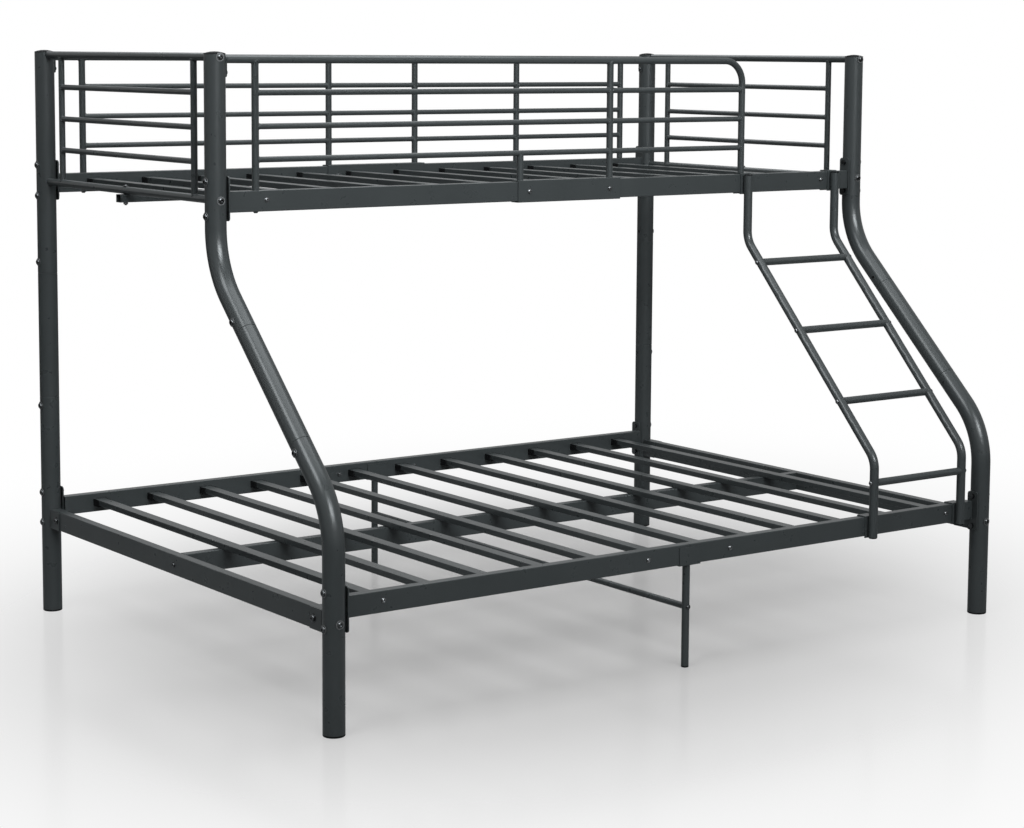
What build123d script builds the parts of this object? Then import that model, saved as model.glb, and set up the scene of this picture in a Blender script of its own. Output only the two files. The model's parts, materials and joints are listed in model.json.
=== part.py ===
# Metal bunk bed frame: a narrow bed over a wide one, with bent front posts and a ladder.
# Millimetres. X runs along the beds, +Y is the rear, Z is up, and z = 0 is the floor.
# The origin lies on the floor, midway between the posts in X and in Y.
from build123d import *
import os

os.makedirs("parts", exist_ok=True)

# Layout between post centres
bed_length = 2040.0
lower_width = 1440.0
upper_width = 920.0
frame_height = 1500.0

# Round posts, each in three sections
post_diameter = 51.0
post_wall = 1.2
post_bend_radius = 220.0
upper_bend_z = 997.0
lower_bend_z = 502.0
middle_length = 330.0
spigot_length = 55.0
spigot_wall = 1.5
rear_joint_z = 912.0
front_joint_from_bend = 197.0
joint_bolt_above = 30.0
joint_bolt_below = 24.0
seam_chamfer = 0.9
weld_nut_diameter = 14.0
weld_nut_depth = 8.0

# Plastic caps and floor glides of the posts
cap_height = 6.5
cap_dome_rise = 4.5
glide_height = 5.0
plug_depth = 20.0
plug_rim = 2.0

# Side rails, with a plate welded to the post end of each
rail_height = 50.0
rail_depth = 25.0
rail_wall = 1.2
rail_corner = 2.0
upper_rail_z = 1125.0
lower_rail_z = 260.0
lower_rail_inset = 13.0
plate_thickness = 3.0
plate_width = 36.0
plate_height = 105.0
plate_corner = 8.0
plate_bolt_spacing = 81.0
upper_plate_lift = 8.0
lower_plate_lift = -1.5

# Joints at the middle of the side rails
upper_splice_x = 7.0
lower_splice_x = 0.0
splice_length = 330.0
splice_bolt_spacing = 260.0
splice_wall = 3.0
splice_gap = 1.0

# Cross rails at the ends of the lower bed, and their brackets
end_rail_z = 230.0
bracket_length = 52.0
bracket_height = 50.0
bracket_sheet = 2.5
bracket_boss_diameter = 15.0
bracket_boss_length = 10.0
bracket_bolt_from_post = 62.0

# Beams along the middle of each bed
slat_level_above_rail = 20.0
upper_beam_width = 25.0
upper_beam_overhang = 20.0
beam_wall = 1.2

# Slats and their shoes
slat_count = 12
slat_width = 30.0
slat_height = 15.0
slat_wall = 1.0
slat_span = 1780.0
slat_corner = 1.5
shoe_sheet = 3.0
shoe_depth = 28.0

# End panels of the upper bed
panel_rail_diameter = 19.0
panel_upright_diameter = 16.0
panel_bar_diameter = 14.0
panel_top_z = 1487.0
panel_upright_from_post = 102.0
panel_bar_heights = (1404.0, 1322.0, 1241.0)

# Guard rails of the upper bed
guard_tube_diameter = 18.0
guard_upright_diameter = 17.5
guard_bar_diameter = 14.0
guard_top_z = 1481.5
guard_bar_heights = (1404.0, 1325.0, 1247.0)
guard_bend_radius = 60.0
guard_near_x = 913.0
guard_short_x = -142.0
guard_middle_x = 147.0
guard_end_x = 603.0
rear_guard_middle_x = 147.0
rear_guard_quarter_x = 514.0
tab_width = 16.0
tab_height = 50.0
tab_corner = 6.0
tab_screw_drop = 30.0
small_tube_wall = 1.0
foot_pin_diameter = 8.0
foot_pin_length = 12.0
insert_length = 22.0

# Ladder
ladder_tube_diameter = 23.5
ladder_left_x = 608.0
ladder_right_x = 930.0
ladder_upper_bend_z = 996.0
ladder_lower_bend_z = 461.0
ladder_bend_radius = 65.0
ladder_foot_below_rail = 2.0
ladder_weld_overlap = 0.5
rung_diameter = 19.5
rung_heights = (939.0, 769.0, 598.0, 401.0)
hook_width = 34.0
hook_sheet = 3.0
hook_below_rail = 4.0
ladder_plug_height = 3.0
ladder_plug_depth = 15.0

# Middle supports under the lower side rails
leg_diameter = 19.0
leg_wall = 1.2
saddle_length = 66.0
saddle_sheet = 2.0
saddle_height = 45.0
stretcher_diameter = 16.0
stretcher_z = 152.0
leg_glide_height = 4.0

# Fasteners
large_bolt_diameter = 8.0
large_flange_diameter = 21.0
large_flange_height = 1.2
large_head_diameter = 15.0
large_head_height = 4.2
long_bolt_length = 68.0
large_socket = 5.0
large_nut_width = 13.0
large_nut_height = 5.5
small_bolt_diameter = 6.0
small_flange_diameter = 13.0
small_flange_height = 0.8
small_head_diameter = 10.5
small_head_height = 3.0
small_socket = 4.0
socket_depth_share = 0.6
dome_share = 0.8
half_hexagon = 30.0
small_nut_width = 10.0
small_nut_height = 5.0
bolt_reach = 8.0
head_reach = 15.0

# Clearances
fit = 0.2
spigot_fit = 0.3
bolt_fit = 0.6
thread_fit = 0.2
overrun = 1.0

# Places worked out from the layout
post_radius = post_diameter / 2
post_x = bed_length / 2
rear_y = lower_width / 2
front_low_y = -lower_width / 2
front_high_y = rear_y - upper_width
lower_rail_y = rear_y - lower_rail_inset
upper_middle_y = (rear_y + front_high_y) / 2
plate_outer_x = post_x - post_radius - fit
plate_inner_x = plate_outer_x - plate_thickness
upper_rail_top = upper_rail_z + rail_height
upper_slat_z = upper_rail_z + slat_level_above_rail
lower_slat_z = lower_rail_z + slat_level_above_rail
upper_plate_z = upper_rail_z + rail_height / 2 + upper_plate_lift
lower_plate_z = lower_rail_z + rail_height / 2 + lower_plate_lift
end_rail_middle_z = end_rail_z + rail_height / 2
panel_bottom_z = upper_slat_z + panel_rail_diameter / 2 + fit
tab_screw_z = guard_top_z - tab_screw_drop
slant = Vector(0, front_low_y - front_high_y, lower_bend_z - upper_bend_z).normalized()
rear_low_joint_z = rear_joint_z - middle_length
sides = {"left": -1, "right": 1}


# A plane with its origin at a point and its normal along a direction
def facing(point, direction):
    return Plane(origin=point, z_dir=direction)


# Through holes, each centred on the origin of its plane
def drill(places, diameter, depth):
    with Locations(*places):
        Cylinder(diameter / 2, depth, mode=Mode.SUBTRACT)


# Holes from the origin of each plane along its normal
def bore(places, diameter, depth):
    with Locations(*places):
        Cylinder(
            diameter / 2,
            depth,
            align=(Align.CENTER, Align.CENTER, Align.MIN),
            mode=Mode.SUBTRACT,
        )


# A round tube along straight runs joined by bends of one radius
def bent_tube(points, radius, diameter, wall):
    with BuildPart() as tube:
        with BuildLine() as route:
            FilletPolyline(*points, radius=radius)
        with BuildSketch(facing(route.line @ 0, route.line % 0)):
            Circle(diameter / 2)
            Circle(diameter / 2 - wall, mode=Mode.SUBTRACT)
        sweep(path=route.line)
    return tube.part


# A solid round rod along the same kind of route, used to cope the tubes that meet it
def bent_rod(points, radius, diameter):
    with BuildPart() as rod:
        with BuildLine() as route:
            FilletPolyline(*points, radius=radius)
        with BuildSketch(facing(route.line @ 0, route.line % 0)):
            Circle(diameter / 2)
        sweep(path=route.line)
    return rod.part


# A straight round rod between two points
def straight_rod(start, end, diameter):
    run = Vector(*end) - Vector(*start)
    with BuildPart() as rod:
        with BuildSketch(facing(start, run)):
            Circle(diameter / 2)
        extrude(amount=run.length)
    return rod.part


# A flanged button-head bolt: flange and dome above the plane z = 0, the shank below it
def button_bolt(diameter, flange, head, socket, length):
    flange_diameter, flange_height = flange
    head_diameter, head_height = head
    head_top = flange_height + head_height
    with BuildPart() as bolt:
        with BuildSketch(Plane.XY):
            Circle(head_diameter / 2)
        extrude(amount=head_top)
        fillet(bolt.edges().group_by(Axis.Z)[-1], radius=head_height * dome_share)
        with BuildSketch(Plane.XY):
            Circle(flange_diameter / 2)
        extrude(amount=flange_height)
        with BuildSketch(Plane.XY.offset(head_top)):
            RegularPolygon(radius=socket / 2, side_count=6, major_radius=False)
        extrude(amount=-head_height * socket_depth_share, mode=Mode.SUBTRACT)
        with BuildSketch(Plane.XY):
            Circle(diameter / 2)
        extrude(amount=-length)
    return bolt.part


# A plain hexagon nut that stands on z = 0
def hex_nut(width, height, thread):
    with BuildPart() as nut:
        with BuildSketch(Plane.XY):
            RegularPolygon(
                radius=width / 2,
                side_count=6,
                major_radius=False,
                rotation=half_hexagon,
            )
            Circle((thread + thread_fit) / 2, mode=Mode.SUBTRACT)
        extrude(amount=height)
    return nut.part


# A plastic plug: a rim over the tube end and a shank inside it, rim towards +Z
def tube_plug(diameter, rim_diameter, wall, rim_height, depth):
    with BuildPart() as plug:
        with BuildSketch(Plane.XY):
            Circle(rim_diameter / 2)
        extrude(amount=rim_height)
        fillet(plug.edges().group_by(Axis.Z)[-1], radius=rim_height * socket_depth_share)
        with BuildSketch(Plane.XY):
            Circle(diameter / 2 - wall - spigot_fit)
            Circle(diameter / 2 - wall - spigot_fit - plug_rim, mode=Mode.SUBTRACT)
        extrude(amount=-depth)
    return plug.part


# The same piece at several places, as one node of separate solids
def at_places(piece, places):
    with BuildPart() as group:
        with Locations(*places):
            add(piece)
    return group.part


# Round members welded into one frame: outsides joined first, then one connected bore
def welded_frame(members, bores):
    with BuildPart() as frame:
        for start, end, diameter in members:
            add(straight_rod(start, end, diameter))
        for start, end, diameter in bores:
            add(straight_rod(start, end, diameter), mode=Mode.SUBTRACT)
    return frame.part


# A rectangular tube that is centred on a line along X
def box_tube_x(start_x, end_x, y, z, depth, height, wall):
    with BuildPart() as tube:
        with BuildSketch(Plane(origin=(start_x, y, z), x_dir=(0, 1, 0), z_dir=(1, 0, 0))):
            RectangleRounded(depth, height, rail_corner)
            Rectangle(depth - 2 * wall, height - 2 * wall, mode=Mode.SUBTRACT)
        extrude(amount=end_x - start_x)
    return tube.part


# A rectangular tube that is centred on a line along Y
def box_tube_y(start_y, end_y, x, z, depth, height, wall, corner):
    with BuildPart() as tube:
        with BuildSketch(Plane(origin=(x, start_y, z), x_dir=(1, 0, 0), z_dir=(0, 1, 0))):
            RectangleRounded(depth, height, corner)
            Rectangle(depth - 2 * wall, height - 2 * wall, mode=Mode.SUBTRACT)
        extrude(amount=end_y - start_y)
    return tube.part


# Post bolts run along X through the whole post
def post_holes(y, heights):
    return [facing((0, y, z), (1, 0, 0)) for z in heights]


upper_plate_bolts = [
    upper_plate_z - plate_bolt_spacing / 2,
    upper_plate_z + plate_bolt_spacing / 2,
]
lower_plate_bolts = [
    lower_plate_z - plate_bolt_spacing / 2,
    lower_plate_z + plate_bolt_spacing / 2,
]
large_hole = large_bolt_diameter + bolt_fit
small_hole = small_bolt_diameter + bolt_fit


# Front post route in one end plane, as points on the tube's centre line
def front_route(x):
    top = Vector(x, front_high_y, frame_height - cap_height)
    upper_corner = Vector(x, front_high_y, upper_bend_z)
    lower_corner = Vector(x, front_low_y, lower_bend_z)
    foot = Vector(x, front_low_y, glide_height)
    upper_joint = upper_corner + slant * front_joint_from_bend
    lower_joint = upper_joint + slant * middle_length
    return top, upper_corner, upper_joint, lower_joint, lower_corner, foot


# Where the post joint bolts cross the centre line of a post
def joint_bolt_points(x):
    route = front_route(x)
    return [
        Vector(x, rear_y, rear_joint_z + joint_bolt_above),
        Vector(x, rear_y, rear_low_joint_z - joint_bolt_below),
        route[2] - slant * joint_bolt_above,
        route[3] + slant * joint_bolt_below,
    ]


# Break the outer edge of a tube end, so that the seam shows as a fine line
def break_seam(post, point):
    end_face = post.faces().sort_by_distance(point)[0]
    chamfer(end_face.outer_wire().edges(), length=seam_chamfer)


# Upper post section: holes for the rail plate, the end panel, the guard tab and the joint
def upper_post(side, points, joint_bolt, has_guard_tab):
    x = side * post_x
    y = points[0].Y
    with BuildPart() as post:
        if len(points) == 2:
            add(straight_rod(points[0], points[1], post_diameter))
            add(straight_rod(points[0], points[1], post_diameter - 2 * post_wall), mode=Mode.SUBTRACT)
        else:
            add(bent_tube(points, post_bend_radius, post_diameter, post_wall))
        break_seam(post, points[-1])
        along_x = [facing((x, y, z), (1, 0, 0)) for z in upper_plate_bolts]
        along_x.append(facing(joint_bolt, (1, 0, 0)))
        along_y = [facing((x, y, z), (0, 1, 0)) for z in (panel_bottom_z, panel_top_z)]
        drill(along_x + along_y, large_hole, post_diameter + overrun)
        if has_guard_tab:
            bore([facing((x, y, tab_screw_z), (-side, 0, 0))], small_hole, post_radius + overrun)
    return post.part


# Lower post section: holes for the rail plate, the cross rail bracket and the joint
def lower_post(side, points, joint_bolt):
    x = side * post_x
    y = points[-1].Y
    with BuildPart() as post:
        if len(points) == 2:
            add(straight_rod(points[0], points[1], post_diameter))
            add(straight_rod(points[0], points[1], post_diameter - 2 * post_wall), mode=Mode.SUBTRACT)
        else:
            add(bent_tube(points, post_bend_radius, post_diameter, post_wall))
        break_seam(post, points[0])
        along_x = [facing((x, y, z), (1, 0, 0)) for z in lower_plate_bolts]
        along_x.append(facing(joint_bolt, (1, 0, 0)))
        along_y = [facing((x, y, end_rail_middle_z), (0, 1, 0))]
        drill(along_x + along_y, large_hole, post_diameter + overrun)
    return post.part


# Middle post section: a full-size tube with a reduced spigot at each end, and a nut welded
# inside each spigot where the joint bolt ends
def middle_post(side, start, end, bolts):
    run = (end - start).normalized()
    spigot_diameter = post_diameter - 2 * post_wall - 2 * spigot_fit
    spigot_start = start - run * spigot_length
    spigot_end = end + run * spigot_length
    bore_start = start + run * spigot_wall * 2
    bore_end = end - run * spigot_wall * 2
    with BuildPart() as post:
        add(straight_rod(start, end, post_diameter))
        break_seam(post, start)
        break_seam(post, end)
        add(straight_rod(spigot_start, spigot_end, spigot_diameter))
        add(
            straight_rod(spigot_start, spigot_end, spigot_diameter - 2 * spigot_wall),
            mode=Mode.SUBTRACT,
        )
        add(
            straight_rod(bore_start, bore_end, post_diameter - 2 * post_wall),
            mode=Mode.SUBTRACT,
        )
        drill([facing(point, (1, 0, 0)) for point in bolts], large_hole, post_diameter)
        nut_end = spigot_diameter / 2 - spigot_wall / 2
        nut_places = [
            facing((point.X - side * nut_end, point.Y, point.Z), (side, 0, 0)) for point in bolts
        ]
        with Locations(*nut_places):
            Cylinder(
                weld_nut_diameter / 2,
                weld_nut_depth,
                align=(Align.CENTER, Align.CENTER, Align.MIN),
            )
        bore(nut_places, large_bolt_diameter + thread_fit, weld_nut_depth + overrun)
    return post.part


def save(part, name):
    part.label = name
    export_step(part, f"parts/{name}.step")


# Posts
for side_name, side in sides.items():
    x = side * post_x
    route = front_route(x)
    bolts = joint_bolt_points(x)
    rear_top = Vector(x, rear_y, frame_height - cap_height)
    rear_upper_joint = Vector(x, rear_y, rear_joint_z)
    rear_lower_joint = Vector(x, rear_y, rear_low_joint_z)
    rear_foot = Vector(x, rear_y, glide_height)
    save(
        upper_post(side, [rear_top, rear_upper_joint], bolts[0], True),
        f"rear_post_{side_name}_upper",
    )
    save(
        middle_post(side, rear_upper_joint, rear_lower_joint, bolts[:2]),
        f"rear_post_{side_name}_middle",
    )
    save(
        lower_post(side, [rear_lower_joint, rear_foot], bolts[1]),
        f"rear_post_{side_name}_lower",
    )
    save(
        upper_post(side, [route[0], route[1], route[2]], bolts[2], side < 0),
        f"front_post_{side_name}_upper",
    )
    save(
        middle_post(side, route[2], route[3], bolts[2:]),
        f"front_post_{side_name}_middle",
    )
    save(
        lower_post(side, [route[3], route[4], route[5]], bolts[3]),
        f"front_post_{side_name}_lower",
    )

# Caps on the four post tops
post_tops = [
    facing((side * post_x, y, frame_height - cap_height), (0, 0, 1))
    for side in sides.values()
    for y in (front_high_y, rear_y)
]
with BuildPart() as post_cap:
    add(tube_plug(post_diameter, post_diameter, post_wall, cap_height, plug_depth))
    cap_dome_radius = (post_radius**2 + cap_dome_rise**2) / (2 * cap_dome_rise)
    with Locations((0, 0, cap_height - cap_dome_radius)):
        Sphere(cap_dome_radius, mode=Mode.INTERSECT)
    cap_bolt_drop = frame_height - cap_height - panel_top_z
    drill([facing((0, 0, -cap_bolt_drop), (0, 1, 0))], large_hole, post_diameter)
save(at_places(post_cap.part, post_tops), "post_caps")

# Glides under the four posts
foot_plug = tube_plug(post_diameter, post_diameter, post_wall, glide_height, plug_depth)
for side_name, side in sides.items():
    for depth_name, y in (("front", front_low_y), ("rear", rear_y)):
        under_post = facing((side * post_x, y, glide_height), (0, 0, -1))
        save(at_places(foot_plug, [under_post]), f"foot_glide_{depth_name}_{side_name}")


# End panel: two rails that reach the posts, two uprights between them and three bars
def end_panel(side):
    x = side * post_x
    near_y = front_high_y + panel_upright_from_post
    far_y = rear_y - panel_upright_from_post
    members = []
    bores = []
    for z in (panel_bottom_z, panel_top_z):
        members.append(((x, front_high_y, z), (x, rear_y, z), panel_rail_diameter))
        insert = post_radius + insert_length
        bores.append(
            (
                (x, front_high_y + insert, z),
                (x, rear_y - insert, z),
                panel_rail_diameter - 2 * small_tube_wall,
            )
        )
        bores.append(
            (
                (x, front_high_y, z),
                (x, rear_y, z),
                large_bolt_diameter + thread_fit,
            )
        )
    for y in (near_y, far_y):
        members.append(((x, y, panel_bottom_z), (x, y, panel_top_z), panel_upright_diameter))
        bores.append(
            (
                (x, y, panel_bottom_z),
                (x, y, panel_top_z),
                panel_upright_diameter - 2 * small_tube_wall,
            )
        )
    for z in panel_bar_heights:
        members.append(((x, near_y, z), (x, far_y, z), panel_bar_diameter))
        bores.append(
            (
                (x, near_y, z),
                (x, far_y, z),
                panel_bar_diameter - 2 * small_tube_wall,
            )
        )
    panel_frame = welded_frame(members, bores)
    with BuildPart() as panel:
        add(panel_frame)
        with Locations((x, front_high_y, frame_height / 2), (x, rear_y, frame_height / 2)):
            Cylinder(post_radius + fit, 2 * frame_height, mode=Mode.SUBTRACT)
        drill(
            [facing((x, upper_middle_y, panel_bottom_z), (0, 0, 1))],
            small_hole,
            panel_rail_diameter + overrun,
        )
    return panel.part


for side_name, side in sides.items():
    save(end_panel(side), f"upper_end_panel_{side_name}")


# Height of the face that a guard upright stands on
def guard_seat_z(x, on_hook):
    if on_hook:
        return upper_rail_top + 2 * fit + hook_sheet
    if abs(x - upper_splice_x) < splice_length / 2:
        return upper_rail_top + 2 * fit + splice_wall
    return upper_rail_top + fit


guard_bolt_feet = [(-guard_near_x, front_high_y), (guard_end_x, front_high_y)]
guard_bolt_feet += [(-guard_near_x, rear_y), (guard_near_x, rear_y)]
guard_pin_feet = [(guard_short_x, front_high_y), (guard_middle_x, front_high_y)]
guard_pin_feet += [(x, rear_y) for x in (-rear_guard_quarter_x, -rear_guard_middle_x)]
guard_pin_feet += [(x, rear_y) for x in (rear_guard_middle_x, rear_guard_quarter_x)]


# The tab that a guard rail ends in, flat against the inner side of a post
def guard_tab(side, y):
    tab_middle_z = guard_top_z + guard_tube_diameter / 2 - tab_height / 2
    start = facing((side * plate_outer_x, y, tab_middle_z), (-side, 0, 0))
    with BuildPart() as tab:
        with BuildSketch(Plane(origin=start.origin, x_dir=(0, 1, 0), z_dir=(-side, 0, 0))):
            RectangleRounded(tab_width, tab_height, tab_corner)
        extrude(amount=plate_thickness)
        drill([facing((side * plate_outer_x, y, tab_screw_z), (1, 0, 0))], small_hole, post_radius)
    return tab.part


# Uprights of a guard, with their feet: a threaded insert, or a pin that drops into the rail
def guard_uprights(y, tops):
    members = []
    bores = []
    for x, top_z in tops:
        seat = guard_seat_z(x, x == guard_end_x and y == front_high_y)
        members.append(((x, y, seat), (x, y, top_z), guard_upright_diameter))
        bores.append(
            (
                (x, y, seat + insert_length),
                (x, y, top_z),
                guard_upright_diameter - 2 * small_tube_wall,
            )
        )
        if (x, y) in guard_pin_feet:
            members.append(((x, y, seat - foot_pin_length), (x, y, seat), foot_pin_diameter))
        bores.append(
            (
                (x, y, seat - foot_pin_length - overrun),
                (x, y, seat + insert_length),
                small_bolt_diameter + thread_fit,
            )
        )
    return members, bores


# Bars of a guard between its first and last uprights
def guard_bars(y, start_x, end_x):
    members = []
    bores = []
    for z in guard_bar_heights:
        members.append(((start_x, y, z), (end_x, y, z), guard_bar_diameter))
        bores.append(
            (
                (start_x, y, z),
                (end_x, y, z),
                guard_bar_diameter - 2 * small_tube_wall,
            )
        )
    return members, bores


# Front guard: its top tube starts at a post tab and turns down at the ladder opening
def front_guard():
    y = front_high_y
    foot_z = guard_seat_z(guard_end_x, True)
    lowest_bar = guard_bar_heights[-1]
    tops = [
        (-guard_near_x, guard_top_z),
        (guard_short_x, lowest_bar),
        (guard_middle_x, guard_top_z),
    ]
    members, bores = guard_uprights(y, tops)
    bars, bar_bores = guard_bars(y, -guard_near_x, guard_end_x)
    insert_top = foot_z + insert_length
    outer_points = [
        (-plate_inner_x, y, guard_top_z),
        (guard_end_x, y, guard_top_z),
        (guard_end_x, y, foot_z),
    ]
    inner_points = [
        (-plate_inner_x + overrun, y, guard_top_z),
        (guard_end_x, y, guard_top_z),
        (guard_end_x, y, insert_top),
    ]
    outer = bent_rod(outer_points, guard_bend_radius, guard_tube_diameter)
    inner = bent_rod(inner_points, guard_bend_radius, guard_tube_diameter - 2 * small_tube_wall)
    thread = straight_rod(
        (guard_end_x, y, foot_z - overrun),
        (guard_end_x, y, insert_top),
        small_bolt_diameter + thread_fit,
    )
    tab = guard_tab(-1, y)
    grid = welded_frame(members + bars, [])
    with BuildPart() as guard:
        add(outer)
        add(grid)
        add(inner, mode=Mode.SUBTRACT)
        for start, end, diameter in bores + bar_bores:
            add(straight_rod(start, end, diameter), mode=Mode.SUBTRACT)
        add(thread, mode=Mode.SUBTRACT)
        add(tab)
    return guard.part


# Rear guard: its top tube runs from post to post
def rear_guard():
    y = rear_y
    half = rear_guard_quarter_x
    places = (-guard_near_x, -half, -rear_guard_middle_x, rear_guard_middle_x, half, guard_near_x)
    members, bores = guard_uprights(y, [(x, guard_top_z) for x in places])
    bars, bar_bores = guard_bars(y, -guard_near_x, guard_near_x)
    top_start = (-plate_inner_x, y, guard_top_z)
    top_end = (plate_inner_x, y, guard_top_z)
    bore_start = (-plate_inner_x + overrun, y, guard_top_z)
    bore_end = (plate_inner_x - overrun, y, guard_top_z)
    members.append((top_start, top_end, guard_tube_diameter))
    bores.append((bore_start, bore_end, guard_tube_diameter - 2 * small_tube_wall))
    tabs = [guard_tab(-1, y), guard_tab(1, y)]
    grid = welded_frame(members + bars, bores + bar_bores)
    with BuildPart() as guard:
        add(grid)
        for tab in tabs:
            add(tab)
    return guard.part


save(front_guard(), "front_guard_rail")
save(rear_guard(), "rear_guard_rail")


# Vertical holes for the feet of the guards that stand on one rail half
def foot_holes(side, y, splice_x, z):
    bolted = [x for x, foot_y in guard_bolt_feet if foot_y == y and side * (x - splice_x) > 0]
    pinned = [x for x, foot_y in guard_pin_feet if foot_y == y and side * (x - splice_x) > 0]
    return [facing((x, y, z), (0, 0, 1)) for x in bolted], [facing((x, y, z), (0, 0, 1)) for x in pinned]


# One half of a side rail, with the plate that bolts to the inner side of a post
def side_rail_half(side, post_y, rail_y, rail_z, plate_z, splice_x, is_upper):
    middle_z = rail_z + rail_height / 2
    inner_end = splice_x + side * splice_gap / 2
    start_x = min(side * plate_inner_x, inner_end)
    end_x = max(side * plate_inner_x, inner_end)
    tube = box_tube_x(start_x, end_x, rail_y, middle_z, rail_depth, rail_height, rail_wall)
    plate_plane = Plane(
        origin=(side * plate_inner_x, post_y, plate_z),
        x_dir=(0, 1, 0),
        z_dir=(side, 0, 0),
    )
    bolt_y = [splice_x + side * splice_bolt_spacing / 2, side * slat_span / 2]
    slat_middle_z = rail_z + slat_level_above_rail + slat_height / 2
    with BuildPart() as rail:
        add(tube)
        with BuildSketch(plate_plane):
            RectangleRounded(plate_width, plate_height, plate_corner)
        extrude(amount=plate_thickness)
        plate_places = [
            facing((side * plate_inner_x, post_y, plate_z + step), (1, 0, 0))
            for step in (-plate_bolt_spacing / 2, plate_bolt_spacing / 2)
        ]
        drill(plate_places, large_hole, 2 * plate_thickness + overrun)
        drill([facing((bolt_y[0], rail_y, middle_z), (0, 1, 0))], small_hole, rail_depth + overrun)
        drill([facing((bolt_y[1], rail_y, slat_middle_z), (0, 1, 0))], small_hole, rail_depth + overrun)
        if is_upper:
            bolted, pinned = foot_holes(side, rail_y, splice_x, middle_z)
            if bolted:
                drill(bolted, small_hole, rail_height + overrun)
            if pinned:
                bore(pinned, foot_pin_diameter + bolt_fit, rail_height / 2 + overrun)
    return rail.part


for side_name, side in sides.items():
    for depth_name, y in (("front", front_high_y), ("rear", rear_y)):
        half = side_rail_half(side, y, y, upper_rail_z, upper_plate_z, upper_splice_x, True)
        save(half, f"upper_{depth_name}_rail_{side_name}")
    for depth_name, post_y, rail_y in (
        ("front", front_low_y, -lower_rail_y),
        ("rear", rear_y, lower_rail_y),
    ):
        half = side_rail_half(
            side, post_y, rail_y, lower_rail_z, lower_plate_z, lower_splice_x, False
        )
        save(half, f"lower_{depth_name}_rail_{side_name}")

# Sleeves around the outside of the upper rail joints
outer_sleeve_depth = rail_depth + 2 * (fit + splice_wall)
outer_sleeve_height = rail_height + 2 * (fit + splice_wall)
upper_rail_middle_z = upper_rail_z + rail_height / 2
lower_rail_middle_z = lower_rail_z + rail_height / 2
sleeve_start = upper_splice_x - splice_length / 2
sleeve_end = upper_splice_x + splice_length / 2
sleeve_tubes = [
    box_tube_x(
        sleeve_start,
        sleeve_end,
        y,
        upper_rail_middle_z,
        outer_sleeve_depth,
        outer_sleeve_height,
        splice_wall,
    )
    for y in (front_high_y, rear_y)
]
with BuildPart() as upper_sleeves:
    for tube in sleeve_tubes:
        add(tube)
    for y in (front_high_y, rear_y):
        splice_bolts = [
            facing((upper_splice_x + step, y, upper_rail_middle_z), (0, 1, 0))
            for step in (-splice_bolt_spacing / 2, splice_bolt_spacing / 2)
        ]
        drill(splice_bolts, small_hole, outer_sleeve_depth + overrun)
    sleeve_pins = [
        facing((x, y, upper_rail_middle_z), (0, 0, 1))
        for x, y in guard_pin_feet
        if sleeve_start < x < sleeve_end
    ]
    bore(sleeve_pins, foot_pin_diameter + bolt_fit, outer_sleeve_height / 2 + overrun)
save(upper_sleeves.part, "upper_rail_joint_sleeves")

# Sleeves inside the lower rail joints
inner_sleeve_depth = rail_depth - 2 * (rail_wall + fit)
inner_sleeve_height = rail_height - 2 * (rail_wall + fit)
inner_tubes = [
    box_tube_x(
        lower_splice_x - splice_length / 2,
        lower_splice_x + splice_length / 2,
        y,
        lower_rail_middle_z,
        inner_sleeve_depth,
        inner_sleeve_height,
        splice_wall,
    )
    for y in (-lower_rail_y, lower_rail_y)
]
with BuildPart() as lower_sleeves:
    for tube in inner_tubes:
        add(tube)
    for y in (-lower_rail_y, lower_rail_y):
        splice_bolts = [
            facing((lower_splice_x + step, y, lower_rail_middle_z), (0, 1, 0))
            for step in (-splice_bolt_spacing / 2, splice_bolt_spacing / 2)
        ]
        drill(splice_bolts, small_hole, rail_depth + overrun)
save(lower_sleeves.part, "lower_rail_joint_sleeves")

# Cross rails of the lower bed, held at both ends in a bracket on each post
bracket_base_y = rear_y - post_radius - fit
end_rail_half_length = bracket_base_y - bracket_sheet - overrun
bracket_bolt_y = rear_y - bracket_bolt_from_post
for side_name, side in sides.items():
    x = side * post_x
    tube = box_tube_y(
        -end_rail_half_length,
        end_rail_half_length,
        x,
        end_rail_middle_z,
        rail_depth,
        rail_height,
        rail_wall,
        rail_corner,
    )
    with BuildPart() as end_rail:
        add(tube)
        places = [
            facing((x, y, end_rail_middle_z), (1, 0, 0))
            for y in (-bracket_bolt_y, bracket_bolt_y)
        ]
        drill(places, large_hole, rail_depth + overrun)
        drill([facing((x, 0, end_rail_middle_z), (1, 0, 0))], small_hole, rail_depth + overrun)
    save(end_rail.part, f"lower_end_rail_{side_name}")


# A bracket: a base against the post, two cheeks around the rail end and a threaded boss
def end_rail_bracket(x, side_y):
    outer_width = rail_depth + 2 * (fit + bracket_sheet)
    base = Plane(
        origin=(x, side_y * bracket_base_y, end_rail_middle_z),
        x_dir=(1, 0, 0),
        z_dir=(0, -side_y, 0),
    )
    with BuildPart() as bracket:
        with BuildSketch(base):
            Rectangle(outer_width, bracket_height)
        extrude(amount=bracket_length)
        with BuildSketch(base.offset(bracket_sheet)):
            Rectangle(rail_depth + 2 * fit, bracket_height + overrun)
        extrude(amount=bracket_length, mode=Mode.SUBTRACT)
        with BuildSketch(base.offset(bracket_sheet)):
            Circle(bracket_boss_diameter / 2)
        extrude(amount=bracket_boss_length)
        bore([base], large_bolt_diameter + thread_fit, bracket_length)
        drill(
            [facing((x, side_y * bracket_bolt_y, end_rail_middle_z), (1, 0, 0))],
            large_hole,
            outer_width + overrun,
        )
    return bracket.part


brackets = [
    end_rail_bracket(side * post_x, side_y) for side in sides.values() for side_y in (-1, 1)
]
with BuildPart() as bracket_group:
    for bracket in brackets:
        add(bracket)
save(bracket_group.part, "lower_end_rail_brackets")

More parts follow.
